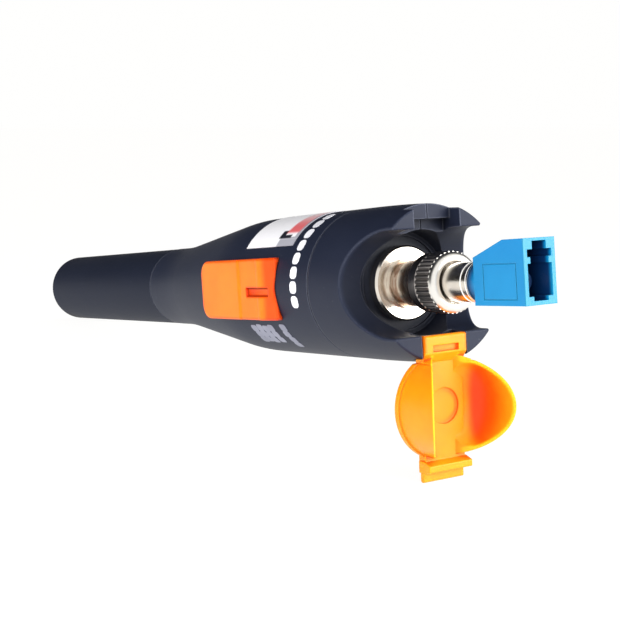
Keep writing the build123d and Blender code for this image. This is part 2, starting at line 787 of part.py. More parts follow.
def make_small_sleeve():
    sleeve = tube(socket_rear, small_sleeve_front - 0.3, small_ferrule_radius + small_sleeve_wall,
                  small_ferrule_radius + 0.01)
    return sleeve


def make_label_panel():
    band = tube(label_rear, label_front, head_radius + label_thickness, head_radius)
    reach = 3 * head_radius
    angle = math.radians(label_half_angle)
    side = (reach * math.sin(angle), reach * math.cos(angle))
    wedge = Polyline((0, 0), (-side[0], side[1]), (-side[0], reach), (side[0], reach), (side[0], side[1]),
                     close=True)
    return band & (Plane.YZ.offset(label_rear - 1) * extrude(make_face(wedge), amount=100))


def pitch_of_pen():
    # Slope of the pen that stands on the rounded tail edge and on the rounded tip of the cap
    tip_x = tip_back + tip_rounding
    tip_z = -latch_bar_drop - tip_reach + tip_rounding
    lean = math.radians(cap_lean)
    foot_x = -pin_setback + tip_x * math.cos(lean) + tip_z * math.sin(lean)
    foot_z = -pin_drop - tip_x * math.sin(lean) + tip_z * math.cos(lean)
    run = foot_x - (-pen_length + tail_rounding)
    fall = (-tube_radius + tail_rounding) - foot_z
    line = math.atan2(fall, run)
    return math.degrees(line + math.asin((tip_rounding - tail_rounding) / math.hypot(run, fall)))


pieces = {
    "main_housing": make_main_housing(),
    "head_bezel": make_head_bezel(),
    "battery_tube": make_battery_tube(),
    "tube_gasket": make_gasket(),
    "contact_ring": make_contact_ring(),
    "tail_spring": make_tail_spring(),
    "rear_cell": make_cell(cell_front() - cell_length()),
    "front_cell": make_cell(cell_front()),
    "contact_holder": make_contact_holder(),
    "positive_contact": make_positive_contact(),
    "circuit_board": make_circuit_board(),
    "driver_chip": make_driver_chip(),
    "capacitor": make_capacitor(),
    "switch_case": make_switch_case(),
    "switch_lever": make_switch_lever(),
    "switch_button": make_switch_button(),
    "laser_barrel": make_laser_barrel(),
    "laser_diode": make_laser_diode(),
    "laser_lens": make_laser_lens(),
    "lens_retainer": make_lens_retainer(),
    "set_screws": make_set_screws(),
    "port_flange": make_port_flange(),
    "port_barrel": make_port_barrel(),
    "port_sleeve": make_port_sleeve(),
    "dust_cap": make_dust_cap(),
    "hinge_pin": make_hinge_pin(),
    "coupling_nut": make_coupling_nut(),
    "adapter_body": make_adapter_body(),
    "adapter_ferrule": make_adapter_ferrule(),
    "ferrule_holder": make_ferrule_holder(),
    "ferrule_spring": make_ferrule_spring(),
    "receptacle_shell": make_receptacle_shell(),
    "small_sleeve": make_small_sleeve(),
    "label_panel": make_label_panel(),
}

# Stand the pen up: slope first, then the middle of its footprint over the origin, on the floor
pitch = pitch_of_pen()
sloped = {name: Rot(0, -pitch, 0) * piece for name, piece in pieces.items()}
boxes = [piece.bounding_box() for piece in sloped.values()]
low_x = min(box.min.X for box in boxes)
high_x = max(box.max.X for box in boxes)
low_y = min(box.min.Y for box in boxes)
high_y = max(box.max.Y for box in boxes)
low_z = min(box.min.Z for box in boxes)
moved = (-(low_x + high_x) / 2, -(low_y + high_y) / 2, -low_z)
place = Pos(*moved)

os.makedirs("parts", exist_ok=True)
for name, piece in sloped.items():
    export_step(place * piece, f"parts/{name}.step")
print("pitch", round(pitch, 4), "moved by", [round(value, 4) for value in moved])
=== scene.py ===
import json
import math

import bmesh
import bpy
from mathutils import Matrix, Vector


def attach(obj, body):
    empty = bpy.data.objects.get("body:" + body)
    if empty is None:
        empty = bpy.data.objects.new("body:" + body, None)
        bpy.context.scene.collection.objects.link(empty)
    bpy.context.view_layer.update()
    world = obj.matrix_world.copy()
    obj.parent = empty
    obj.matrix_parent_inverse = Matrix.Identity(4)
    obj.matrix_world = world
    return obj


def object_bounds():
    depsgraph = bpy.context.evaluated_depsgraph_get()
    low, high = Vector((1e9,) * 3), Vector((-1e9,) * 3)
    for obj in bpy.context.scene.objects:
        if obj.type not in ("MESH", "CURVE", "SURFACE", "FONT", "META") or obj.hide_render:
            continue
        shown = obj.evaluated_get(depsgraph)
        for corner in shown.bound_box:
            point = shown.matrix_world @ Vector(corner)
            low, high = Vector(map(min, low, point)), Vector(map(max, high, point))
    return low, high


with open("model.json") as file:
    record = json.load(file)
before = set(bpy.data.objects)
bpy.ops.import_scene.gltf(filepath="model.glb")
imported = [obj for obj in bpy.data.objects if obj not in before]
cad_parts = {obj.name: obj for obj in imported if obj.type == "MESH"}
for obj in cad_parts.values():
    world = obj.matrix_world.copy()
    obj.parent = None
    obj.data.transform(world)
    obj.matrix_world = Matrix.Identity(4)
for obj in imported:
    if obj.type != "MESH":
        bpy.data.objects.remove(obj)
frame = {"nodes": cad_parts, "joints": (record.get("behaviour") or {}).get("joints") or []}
cadBounds = [list(corner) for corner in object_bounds()]
nodes = frame["nodes"]
joints = {joint["name"]: joint for joint in frame["joints"]}
print("frame loaded:", len(nodes), "nodes")

# The pen's own frame: along runs from tail to head, and its zero is level with the jaws' faces.
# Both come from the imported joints, so the scene follows the model.
along = Vector(joints["adapter_out"]["axis"]).normalized()
across = Vector((0, 1, 0))
upward = along.cross(across)
jaws = Vector(joints["nut_spin"]["pos_m"])
slope = math.atan2(along.z, along.x)
mm = 0.001
penMatrix = Matrix.Translation(jaws) @ Matrix.Rotation(-slope, 4, "Y") @ Matrix.Scale(mm, 4)


def pen(x, y, z):
    return jaws + (along * x + across * y + upward * z) * mm


def linear(r, g, b):
    # From a screen colour of 0 to 255 to the linear one that Blender works in
    def one(value):
        value = value / 255
        return value / 12.92 if value <= 0.04045 else ((value + 0.055) / 1.055) ** 2.4
    return (one(r), one(g), one(b), 1.0)


def addObject(name, data):
    made = bpy.data.objects.new(name, data)
    bpy.context.scene.collection.objects.link(made)
    return made


# Shader expressions
class Sock:
    def __init__(self, graph, socket):
        self.graph = graph
        self.socket = socket

    def sibling(self, output):
        return Sock(self.graph, self.socket.node.outputs[output])

    def math(self, kind, *others):
        return self.graph.math(kind, self, *others)

    def __add__(self, other):
        return self.math("ADD", other)

    __radd__ = __add__

    def __sub__(self, other):
        return self.math("SUBTRACT", other)

    def __rsub__(self, other):
        return self.graph.math("SUBTRACT", other, self)

    def __mul__(self, other):
        return self.math("MULTIPLY", other)

    __rmul__ = __mul__

    def __pow__(self, other):
        return self.math("POWER", other)

    def __rpow__(self, other):
        return self.graph.math("POWER", other, self)

    def __neg__(self):
        return self * -1.0

    def step(self, low, high):
        return self.graph.node("ShaderNodeMapRange", {"interpolation_type": "SMOOTHSTEP"},
                               {"Value": self, "From Min": low, "From Max": high}, "Result")

    def inside(self, low, high, soft):
        return self.step(low - soft, low + soft) * (1.0 - self.step(high - soft, high + soft))

    def either(self, other):
        return 1.0 - (1.0 - self) * (1.0 - other)

    def axes(self):
        split = self.graph.node("ShaderNodeSeparateXYZ", inputs={0: self})
        return [split.sibling(i) for i in range(3)]


class Graph:
    def __init__(self, tree):
        self.tree = tree

    def feed(self, socketIn, value):
        if isinstance(value, Sock):
            self.tree.links.new(value.socket, socketIn)
        else:
            socketIn.default_value = value

    def node(self, kind, settings=None, inputs=None, output=0):
        made = self.tree.nodes.new(kind)
        for key, value in (settings or {}).items():
            setattr(made, key, value)
        for key, value in (inputs or {}).items():
            self.feed(made.inputs[key], value)
        return Sock(self, made.outputs[output]) if made.outputs else None

    def math(self, kind, *values):
        return self.node("ShaderNodeMath", {"operation": kind}, dict(enumerate(values)))


class Finish(Graph):
    def __init__(self, name, shader=None):
        self.material = bpy.data.materials.new(name)
        self.material.use_nodes = True
        super().__init__(self.material.node_tree)
        self.shader = self.tree.nodes["Principled BSDF"]
        for key, value in (shader or {}).items():
            self.shader.inputs[key].default_value = value

    def place(self):
        # Object coordinates turned into the pen's frame, in millimetres
        coordinates = self.node("ShaderNodeTexCoord", output="Object")
        return self.node("ShaderNodeMapping", {"vector_type": "TEXTURE"},
                         {"Vector": coordinates, "Location": jaws, "Rotation": (0, -slope, 0),
                          "Scale": (mm, mm, mm)})

    def stretch(self, vector, scale):
        return self.node("ShaderNodeVectorMath", {"operation": "MULTIPLY"}, {0: vector, 1: scale})

    def noise(self, vector, scale, detail=3.0, roughness=0.55):
        return self.node("ShaderNodeTexNoise", None,
                         {"Vector": vector, "Scale": scale, "Detail": detail, "Roughness": roughness}, "Fac")

    def mix(self, amount, first, second):
        return self.node("ShaderNodeMix", {"data_type": "RGBA"}, {0: amount, 6: first, 7: second}, 2)

    def into(self, name, value):
        self.feed(self.shader.inputs[name], value)

    def soFar(self, name):
        return Sock(self, self.shader.inputs[name].links[0].from_socket)

    def tint(self, amount, colour):
        # Lays a colour over the one that the surface has so far
        self.into("Base Color", self.mix(amount, self.soFar("Base Color"), colour))

    def rounded(self, radius):
        # The normal as it is with edges rounded to this radius, in millimetres
        return self.node("ShaderNodeBevel", {"samples": 6}, {"Radius": radius * mm})

    def relief(self, height, distance, strength, rounding):
        bump = {"Strength": strength, "Distance": distance * mm, "Height": height}
        if rounding:
            bump["Normal"] = self.rounded(rounding)
        self.into("Normal", self.node("ShaderNodeBump", inputs=bump))

    def put(self, *names):
        for name in names:
            mesh = nodes[name].data
            mesh.materials.clear()
            mesh.materials.append(self.material)


# How the dictionaries write a mask: two values are a soft step, from its start to its end, and three are a
# band, with its low end, its high end and the softness of both. They are millimetres in the pen's frame,
# or degrees where said. A noise is written as its scale, its detail and its roughness, and swings about 0.5.
moulding = {"cloud": (0.12, 4.0), "cloudStep": (0.35, 0.7), "fineDetail": (2.0, 0.6), "fineShare": 0.6,
            "speck": (2.6, 1.0, 0.3), "speckStep": (0.79, 0.84), "dust": (0.55, 0.57, 0.6, 1.0),
            "paintedCreviceStep": (0.12, 0.85), "grainHeight": 0.03, "grainStrength": 0.35}


def plastic(name, base, shade, rough, spread, grain, rounding, dust=0.0, paintedCreviceShade=None, reach=2.0,
            alone=False, edge=None, paintedEdgeStep=(0.01, 0.2), shader=None):
    finish = Finish(name, shader)
    place = finish.place()
    cloudy = finish.noise(place, *moulding["cloud"])
    fine = finish.noise(place, grain, *moulding["fineDetail"])
    finish.into("Base Color", finish.mix(cloudy.step(*moulding["cloudStep"]), base, shade))
    if dust:
        speck = finish.noise(place, *moulding["speck"]).step(*moulding["speckStep"])
        finish.tint(speck * dust, moulding["dust"])
    if edge:
        # Painted edge light: where the rounded normal turns from the flat one, edges are tinted apart from
        # the flat sides, as a painted highlight where the edge colour is lighter and as painted shade where
        # it is darker
        flat = finish.node("ShaderNodeNewGeometry", output="Normal")
        alike = finish.node("ShaderNodeVectorMath", {"operation": "DOT_PRODUCT"},
                            {0: finish.rounded(rounding), 1: flat}, "Value")
        finish.tint((1.0 - alike).step(*paintedEdgeStep), edge)
    if paintedCreviceShade:
        # Painted shade: where ambient occlusion finds a fold, the surface is tinted to a deeper colour,
        # standing in for light that has bounced about inside the fold and taken on more of the plastic's own
        # colour
        openness = finish.node("ShaderNodeAmbientOcclusion", {"samples": 8, "only_local": alone},
                               {"Distance": reach * mm}, "AO")
        finish.tint((1.0 - openness).step(*moulding["paintedCreviceStep"]), paintedCreviceShade)
    grainRough = (fine - 0.5) * spread * moulding["fineShare"]
    finish.into("Roughness", rough + (cloudy - 0.5) * spread + grainRough)
    finish.relief(fine, moulding["grainHeight"], moulding["grainStrength"], rounding)
    return finish


turning = {"cloud": (0.5, 3.0), "ringStretch": (1.0, 0.02, 0.02), "ringDetail": (2.0, 0.7),
           "ringRough": 0.12, "cloudRough": 0.08, "lineHeight": 0.01, "lineStrength": 0.25}


def turnedMetal(name, base, shade, rough, lines, rounding):
    finish = Finish(name, {"Metallic": 1.0})
    place = finish.place()
    cloudy = finish.noise(place, *turning["cloud"])
    rings = finish.noise(finish.stretch(place, turning["ringStretch"]), lines, *turning["ringDetail"])
    finish.into("Base Color", finish.mix(cloudy, base, shade))
    ringRough = (rings - 0.5) * turning["ringRough"]
    finish.into("Roughness", rough + ringRough + (cloudy - 0.5) * turning["cloudRough"])
    finish.relief(rings, turning["lineHeight"], turning["lineStrength"], rounding)
    return finish


# Dark moulded body with a little dust, painted shade in its folds and a painted highlight on its edges
housing = {"base": linear(29, 34, 50), "shade": linear(32, 37, 53), "rough": 0.5, "spread": 0.08,
           "grain": 5.0, "rounding": 0.35, "dust": 0.2, "paintedCreviceShade": linear(15, 17, 27), "reach": 3.0,
           "edge": linear(88, 92, 106), "paintedEdgeStep": (0.003, 0.07), "shader": {"Specular IOR Level": 0.22}}
plastic("bodyPlastic", **housing).put("main_housing")

# The battery tube has a darker, duller skin than the body, and keeps the body's painted shade and painted
# edge highlight
tube = dict(housing, base=linear(24, 29, 44), shade=linear(27, 32, 47), rough=0.56,
            shader={"Specular IOR Level": 0.12})
plastic("tubePlastic", **tube).put("battery_tube")

# Painted shade: the bezel's deep scallops and recess are tinted darker than its open skin, standing in for
# the light they swallow, and its folds get a darker painted shade
bezel = {"plastic": dict(housing, reach=8.0, paintedCreviceShade=linear(10, 12, 20)), "skinRadius": (12.0, 12.7),
         "jawHeight": (7.6, 8.2), "deep": linear(16, 19, 29), "deepAmount": 0.55}


def bezelPlastic(piece):
    finish = plastic("bezelPlastic", **piece["plastic"])
    y, z = finish.place().axes()[1:]
    underSkin = 1.0 - ((y * y + z * z) ** 0.5).step(*piece["skinRadius"])
    betweenJaws = 1.0 - z.math("ABSOLUTE").step(*piece["jawHeight"])
    # Painted shade under the skin and between the jaws, in the scallops and recess
    finish.tint(underSkin * betweenJaws * piece["deepAmount"], piece["deep"])
    return finish


bezelPlastic(bezel).put("head_bezel")

# Orange slide switch with painted shade: redder along its edges, at its shaded front end and in its slot
switch = {"plastic": {"base": linear(248, 124, 12), "shade": linear(242, 114, 10), "rough": 0.4,
                      "spread": 0.08, "grain": 6.0, "rounding": 0.6, "paintedCreviceShade": linear(214, 40, 8),
                      "reach": 1.6, "edge": linear(240, 84, 14),
                      "shader": {"Specular IOR Level": 0.3, "Subsurface Weight": 0.25,
                                 "Subsurface Radius": (1.0, 0.25, 0.05), "Subsurface Scale": 0.0012}},
          "side": (4.9, 5.6), "rear": (-59.9, -58.4), "edge": linear(238, 82, 14), "edgeShadeAmount": 0.8,
          "front": (-35.4, -33.2), "frontShadeAmount": 0.75, "deep": linear(216, 52, 8),
          "slotLength": (-41.4, -34.5, 0.5), "slotHeight": (-1.5, 0.5, 0.35), "slotShadeAmount": 0.9,
          "slotFade": (-41.0, -35.0), "slotFadeAmount": 0.45}


def switchPlastic(piece):
    finish = plastic("switchPlastic", **piece["plastic"])
    x, _, z = finish.place().axes()
    face = (1.0 - z.math("ABSOLUTE").step(*piece["side"])) * x.step(*piece["rear"])
    # Painted shade on the sides and the rear end, off the top face
    finish.tint((1.0 - face) * piece["edgeShadeAmount"], piece["edge"])
    # Painted shade at the front end and in the slot
    front = x.step(*piece["front"]) * piece["frontShadeAmount"]
    slot = x.inside(*piece["slotLength"]) * z.inside(*piece["slotHeight"])
    slot = slot * (1.0 - x.step(*piece["slotFade"]) * piece["slotFadeAmount"])
    finish.tint(front.either(slot * piece["slotShadeAmount"]), piece["deep"])
    return finish


switchPlastic(switch).put("switch_button")

# Softer, yellower dust cap with painted light: a painted highlight along its free rim, and painted shade in
# deep orange where its walls meet the floor, round its seat and by its knuckle.
# Its numbers are in its own open position: front is out of its cup, and height is up from its middle.
cap = {"plastic": {"base": linear(252, 146, 16), "shade": linear(250, 138, 13), "rough": 0.38,
                   "spread": 0.08, "grain": 6.0, "rounding": 0.3, "paintedCreviceShade": linear(244, 70, 8),
                   "reach": 2.5, "alone": True, "edge": linear(254, 168, 26),
                   "shader": {"Specular IOR Level": 0.3, "Subsurface Weight": 0.35,
                              "Subsurface Radius": (1.0, 0.3, 0.06), "Subsurface Scale": 0.0015}},
       "pin": (-1.15, -10.05), "lean": math.radians(2.5), "wall": (8.1, 8.25), "floor": (-0.4, 0.0),
       "rimFoot": 2.1, "rimSlope": 1.35, "rimStart": 0.39,
       "foldSide": (4.4, 6.2), "foldCurve": 0.02, "foldFront": (1.2, 9.0), "foldBelowRim": (0.0, 0.9),
       "foldShadeAmount": 0.9, "foldShade": linear(250, 50, 6),
       "seatRadius": (2.3, 3.1, 0.3), "seatSide": (-1.5, 2.5), "seatFront": (0.6, 1.0), "seatAmount": 0.75,
       "knuckleSide": (3.6, 4.0), "knuckleHeight": (8.9, 9.3), "knuckleAmount": 0.6,
       "shadeColour": linear(238, 96, 10),
       "rimBelow": (-0.4, 0.25, 0.3), "rimFront": (0.8, 1.6), "rimInside": (7.5, 7.8),
       "rimOutside": (8.95, 9.05), "rimHighlightAmount": 0.85, "rimTurn": (-1.0, 1.0),
       "nearRimHighlight": linear(255, 214, 40), "farRimHighlight": linear(252, 176, 28)}


def capPlastic(piece):
    finish = plastic("capPlastic", **piece["plastic"])
    x, y, z = finish.place().axes()
    cosLean = math.cos(piece["lean"])
    sinLean = math.sin(piece["lean"])
    overPin = x - piece["pin"][0]
    underPin = z - piece["pin"][1]
    front = overPin * cosLean - underPin * sinLean
    height = overPin * sinLean + underPin * cosLean - piece["pin"][1]
    side = y.math("ABSOLUTE")
    radius = (y * y + height * height) ** 0.5
    belowRim = (side - piece["rimFoot"]) * piece["rimSlope"] + piece["rimStart"] - front
    within = (1.0 - radius.step(*piece["wall"])) * front.step(*piece["floor"])
    # Painted shade where the walls meet the floor
    fold = (side + height * height * piece["foldCurve"]).step(*piece["foldSide"])
    fold = within * fold * (1.0 - front.step(*piece["foldFront"])) * belowRim.step(*piece["foldBelowRim"])
    finish.tint(fold * piece["foldShadeAmount"], piece["foldShade"])
    # Painted shade round the seat
    seat = radius.inside(*piece["seatRadius"]) * y.step(*piece["seatSide"]) * within
    seat = seat * (1.0 - front.step(*piece["seatFront"]))
    finish.tint(seat * piece["seatAmount"], piece["shadeColour"])
    # Painted shade by the knuckle
    knuckle = side.step(*piece["knuckleSide"]) * height.step(*piece["knuckleHeight"])
    finish.tint(knuckle * piece["knuckleAmount"], piece["shadeColour"])
    # Painted highlight along the free rim, yellower on the near side
    rim = belowRim.inside(*piece["rimBelow"]) * front.step(*piece["rimFront"])
    rim = rim * radius.step(*piece["rimInside"]) * (1.0 - radius.step(*piece["rimOutside"]))
    rimHighlightColour = finish.mix(y.step(*piece["rimTurn"]), piece["nearRimHighlight"], piece["farRimHighlight"])
    finish.tint(rim * piece["rimHighlightAmount"], rimHighlightColour)
    return finish


capPlastic(cap).put("dust_cap")

# Blue receptacle with painted light: painted shade inside its socket, on its top and on its round rear end,
# which turns away from the light, and a lighter painted front face
receptacle = {"plastic": {"base": linear(5, 130, 186), "shade": linear(4, 123, 178), "rough": 0.42,
                          "spread": 0.07, "grain": 7.0, "rounding": 0.12, "edge": linear(50, 176, 214),
                          "paintedCreviceShade": linear(2, 84, 130), "reach": 0.4, "alone": True},
              "topHeight": (0.5, 6.0), "topShadeAmount": 0.4, "top": linear(2, 118, 184),
              "front": 23.35, "faceDepth": (0.15, 0.02), "faceLightAmount": 0.55, "face": linear(24, 134, 154),
              "socketDepth": (0.0, 0.9), "socketSide": (2.35, 2.4), "socketHeight": (-2.9, 5.95, 0.03),
              "socketFloor": (13.0, 13.2), "socketShadeAmount": 0.93, "inside": linear(6, 24, 72),
              "rear": (10.7, 12.3), "rearHeight": (-3.4, 3.8, 0.7), "rearShadeAmount": 0.85,
              "turned": linear(6, 44, 92)}


def bluePlastic(piece):
    finish = plastic("bluePlastic", **piece["plastic"])
    x, y, z = finish.place().axes()
    # Painted shade on the top
    finish.tint(z.step(*piece["topHeight"]) * piece["topShadeAmount"], piece["top"])
    # Painted light on the front face
    faceStart, faceEnd = [piece["front"] - depth for depth in piece["faceDepth"]]
    finish.tint(x.step(faceStart, faceEnd) * piece["faceLightAmount"], piece["face"])
    # Painted shade inside the socket
    deep = (piece["front"] - x).step(*piece["socketDepth"])
    deep = deep * (1.0 - y.math("ABSOLUTE").step(*piece["socketSide"]))
    deep = deep * z.inside(*piece["socketHeight"]) * x.step(*piece["socketFloor"])
    finish.tint(deep * piece["socketShadeAmount"], piece["inside"])
    # Painted shade on the round rear end
    rear = (1.0 - x.step(*piece["rear"])) * z.inside(*piece["rearHeight"])
    finish.tint(rear * piece["rearShadeAmount"], piece["turned"])
    return finish


bluePlastic(receptacle).put("receptacle_shell")

# Turned metal of port, nut and adapter
nickel = {"base": (0.86, 0.81, 0.74, 1), "shade": (0.78, 0.71, 0.62, 1), "rough": 0.22, "lines": 9.0,
          "rounding": 0.1}
turnedMetal("nickelPlate", **nickel).put("port_flange", "ferrule_holder")

# The barrel is painted with dull warm bands between bright ones, in patches, with more patches on its lower
# side: painted reflection in the bands and painted shade on the shaded side
barrel = {"first": (-8.6, -7.5, 0.35), "firstAmount": 0.75, "second": (-6.1, -3.2, 0.5),
          "patchStretch": (1.6, 1.0, 0.55), "patchNoise": (0.9, 2.0), "patchStep": (0.42, 0.62),
          "bandAmount": 0.45, "bandPatches": 0.4, "sideAmount": 0.25, "sideHeight": (1.6, 3.4),
          "darkReflection": (0.44, 0.3, 0.22, 1)}


def barrelMetal(piece, metal):
    finish = turnedMetal("barrelMetal", **metal)
    place = finish.place()
    x, _, z = place.axes()
    # Painted reflection in the bands
    bands = x.inside(*piece["first"]) * piece["firstAmount"] + x.inside(*piece["second"])
    patches = finish.noise(finish.stretch(place, piece["patchStretch"]), *piece["patchNoise"])
    patches = patches.step(*piece["patchStep"])
    # Painted shade on the lower side
    shadedSide = 1.0 - z.step(*piece["sideHeight"])
    bands = bands * (piece["bandAmount"] + patches * piece["bandPatches"])
    finish.tint(bands + patches * piece["sideAmount"] * shadedSide, piece["darkReflection"])
    return finish


barrelMetal(barrel, nickel).put("port_barrel")

# Painted reflection: the nut's knurl is painted dark and its domed front bright, for what the metal mirrors
nut = {"metal": dict(nickel, rough=0.3, rounding=0.08), "knurlEnd": (3.0, 3.15), "amount": 0.85,
       "darkReflection": (0.3, 0.28, 0.27, 1), "bright": (0.95, 0.93, 0.88, 1)}


def nutMetal(piece):
    finish = turnedMetal("nutMetal", **piece["metal"])
    x = finish.place().axes()[0]
    # Painted reflection, dark on the knurl and bright on the dome
    finish.tint(piece["amount"], finish.mix(x.step(*piece["knurlEnd"]), piece["darkReflection"], piece["bright"]))
    return finish


nutMetal(nut).put("coupling_nut")

# The adapter's sleeve has a painted highlight, pale and matte, on its lip beside the blue shell and on a
# turned line behind it
sleeve = {"lip": (10.12, 10.32, 0.03), "line": (8.78, 8.98, 0.04), "paintedHighlight": (0.97, 0.96, 0.94, 1),
          "rougher": 0.5, "lessMetal": 0.85}


def sleeveMetal(piece, metal):
    finish = turnedMetal("sleeveMetal", **metal)
    x = finish.place().axes()[0]
    # Painted highlight on the lip and on the turned line
    paintedHighlight = x.inside(*piece["lip"]) + x.inside(*piece["line"])
    finish.tint(paintedHighlight, piece["paintedHighlight"])
    finish.into("Roughness", finish.soFar("Roughness") + paintedHighlight * piece["rougher"])
    finish.into("Metallic", 1.0 - paintedHighlight * piece["lessMetal"])
    return finish


sleeveMetal(sleeve, nickel).put("adapter_body")

# Plain metals of the inner pieces
brass = {"base": (0.72, 0.53, 0.22, 1), "shade": (0.64, 0.45, 0.18, 1), "rough": 0.28, "lines": 7.0,
         "rounding": 0.08}
turnedMetal("turnedBrass", **brass).put("laser_barrel", "lens_retainer", "laser_diode")
steel = {"base": (0.62, 0.62, 0.62, 1), "shade": (0.55, 0.55, 0.56, 1), "rough": 0.26, "lines": 6.0,
         "rounding": 0.05}
turnedMetal("platedSteel", **steel).put("contact_ring", "tail_spring", "positive_contact", "hinge_pin",
                                        "ferrule_spring", "set_screws", "capacitor")

# White ceramic, and the plain plastics inside the body
ceramic = {"base": linear(240, 240, 232), "shade": linear(232, 232, 224), "rough": 0.18, "spread": 0.04,
           "grain": 9.0, "rounding": 0.05}
plastic("ferruleCeramic", **ceramic).put("port_sleeve", "adapter_ferrule", "small_sleeve")
innerBlack = {"base": linear(20, 20, 22), "shade": linear(28, 28, 30), "rough": 0.5, "spread": 0.1,
              "grain": 5.0, "rounding": 0.1}
plastic("innerPlastic", **innerBlack).put("contact_holder", "switch_case", "switch_lever", "driver_chip")
gasket = {"base": linear(12, 12, 13), "shade": linear(18, 18, 19), "rough": 0.7, "spread": 0.1,
          "grain": 4.0, "rounding": 0.1}
plastic("gasketRubber", **gasket).put("tube_gasket")
board = {"base": linear(22, 84, 48), "shade": linear(18, 72, 40), "rough": 0.35, "spread": 0.08,
         "grain": 3.0, "rounding": 0.05}
plastic("boardGreen", **board).put("circuit_board")
cells = {"base": linear(84, 88, 94), "shade": linear(76, 80, 86), "rough": 0.35, "spread": 0.06,
         "grain": 4.0, "rounding": 0.2}
plastic("cellJacket", **cells).put("rear_cell", "front_cell")

lens = {"shader": {"Roughness": 0.03, "IOR": 1.5, "Transmission Weight": 1.0}, "cloud": (0.6, 2.0),
        "base": (0.86, 0.92, 0.94, 1), "shade": (0.9, 0.88, 0.95, 1)}
glass = Finish("lensGlass", lens["shader"])
glass.into("Base Color", glass.mix(glass.noise(glass.place(), *lens["cloud"]), lens["base"], lens["shade"]))
glass.put("laser_lens")

# Bare label film with plain colour fields. Its Turn values are degrees round the pen, and 90 is on top.
label = {"paper": linear(250, 249, 252), "shade": linear(240, 239, 245), "mottle": (1.5, 3.0),
         "mottleAmount": 0.5, "rough": 0.28, "mottleRough": 0.1, "rounding": 0.05,
         "mottleHeight": 0.01, "mottleStrength": 0.2,
         "front": (-34.5, -33.9), "middleTurn": (41.5, 138.5, 0.5), "panel": (-34.8, -29.2, 0.15),
         "panelTurn": (43.5, 136.5, 0.5), "lineAmount": 0.75, "line": linear(128, 128, 142),
         "darkField": (-34.9, -30.6, 0.2), "darkFieldTurn": (42.5, 46.0, 0.6),
         "darkCorner": (-34.9, -33.0, 0.2), "darkCornerTurn": (45.0, 51.0, 0.8), "dark": linear(34, 36, 46),
         "redField": (-33.2, -28.9, 0.5), "redTurn": (48.0, 132.0, 2.0), "redFade": (12.0, 36.0),
         "redOnTop": 0.35, "redDown": 0.6, "red": linear(226, 92, 96)}


def labelFilm(piece):
    finish = Finish("labelFilm")
    place = finish.place()
    x, y, z = place.axes()
    turn = z.math("ARCTAN2", -y) * (180 / math.pi)

    def bothSides(low, high, soft):
        return turn.inside(low, high, soft) + turn.inside(180 - high, 180 - low, soft)

    mottled = finish.noise(place, *piece["mottle"])
    finish.into("Base Color", finish.mix(mottled * piece["mottleAmount"], piece["paper"], piece["shade"]))
    # The front edge shows a line round a clear panel, and all of it is line at the two sides
    frontEdge = x.step(*piece["front"])
    sides = 1.0 - turn.inside(*piece["middleTurn"])
    panel = x.inside(*piece["panel"]) * turn.inside(*piece["panelTurn"])
    line = (frontEdge * (1.0 - sides) * (1.0 - panel)).either(frontEdge * sides)
    finish.tint(line * piece["lineAmount"], piece["line"])
    darkField = x.inside(*piece["darkField"]) * bothSides(*piece["darkFieldTurn"])
    darkCorner = x.inside(*piece["darkCorner"]) * bothSides(*piece["darkCornerTurn"])
    finish.tint(darkField.either(darkCorner), piece["dark"])
    redField = x.inside(*piece["redField"]) * turn.inside(*piece["redTurn"])
    redder = (turn - 90.0).math("ABSOLUTE").step(*piece["redFade"])
    finish.tint(redField * (piece["redOnTop"] + redder * piece["redDown"]), piece["red"])
    finish.into("Roughness", piece["rough"] + mottled * piece["mottleRough"])
    finish.relief(mottled, piece["mottleHeight"], piece["mottleStrength"], piece["rounding"])
    return finish


labelFilm(label).put("label_panel")
print("materials done")

# Printed marks: plain rounded strokes, placed round the head by one node group. Starts and steps are
# degrees, and a side row is its place along the pen, its start, its count and its seed.
marks = {"headRadius": 13.2, "corner": 0.36, "cornerSteps": 10, "proud": 0.05, "sunk": 0.02,
         "white": {"base": linear(238, 238, 244), "shade": linear(222, 222, 230), "rough": 0.45,
                   "spread": 0.08, "grain": 5.0, "rounding": 0.0},
         "grey": {"base": linear(134, 136, 152), "shade": linear(116, 118, 134), "rough": 0.5,
                  "spread": 0.08, "grain": 5.0, "rounding": 0.0},
         "headSize": (2.2, 2.15), "headPlace": -25.0, "headCount": 8, "headStart": 10, "headStep": -11.2,
         "headJitter": 0.0, "headSeed": 3, "sideSize": (2.2, 1.6), "sideStep": 6.6, "sideJitter": 0.2,
         "sideRows": ((-44.6, 35, 3, 5), (-42.4, 34, 3, 6), (-40.2, 35, 3, 7), (-37.9, 34, 3, 8),
                      (-33.2, 33, 4, 9))}


def strokeMesh(name, length, width, material):
    # One rounded stroke, bent to the head's surface at angle zero, which is its near side
    corner = min(length, width) * marks["corner"]
    steps = marks["cornerSteps"]
    rim = []
    for quarter, (sx, sy) in enumerate(((1, 1), (-1, 1), (-1, -1), (1, -1))):
        for i in range(steps + 1):
            angle = math.radians(90 * quarter + 90 * i / steps)
            rim.append((sx * (length / 2 - corner) + corner * math.cos(angle),
                        sy * (width / 2 - corner) + corner * math.sin(angle)))
    mesh = bpy.data.meshes.new(name)
    bm = bmesh.new()

    def ring(lift):
        bent = [(x, arc / marks["headRadius"]) for x, arc in rim]
        radius = marks["headRadius"] + lift
        return [bm.verts.new((x, -math.cos(turn) * radius, math.sin(turn) * radius)) for x, turn in bent]

    tops = ring(marks["proud"])
    lows = ring(-marks["sunk"])
    bm.faces.new(tops)
    bm.faces.new(list(reversed(lows)))
    for i in range(len(rim)):
        j = (i + 1) % len(rim)
        bm.faces.new((tops[j], tops[i], lows[i], lows[j]))
    bm.to_mesh(mesh)
    bm.free()
    mesh.materials.append(material)
    return addObject(name, mesh)


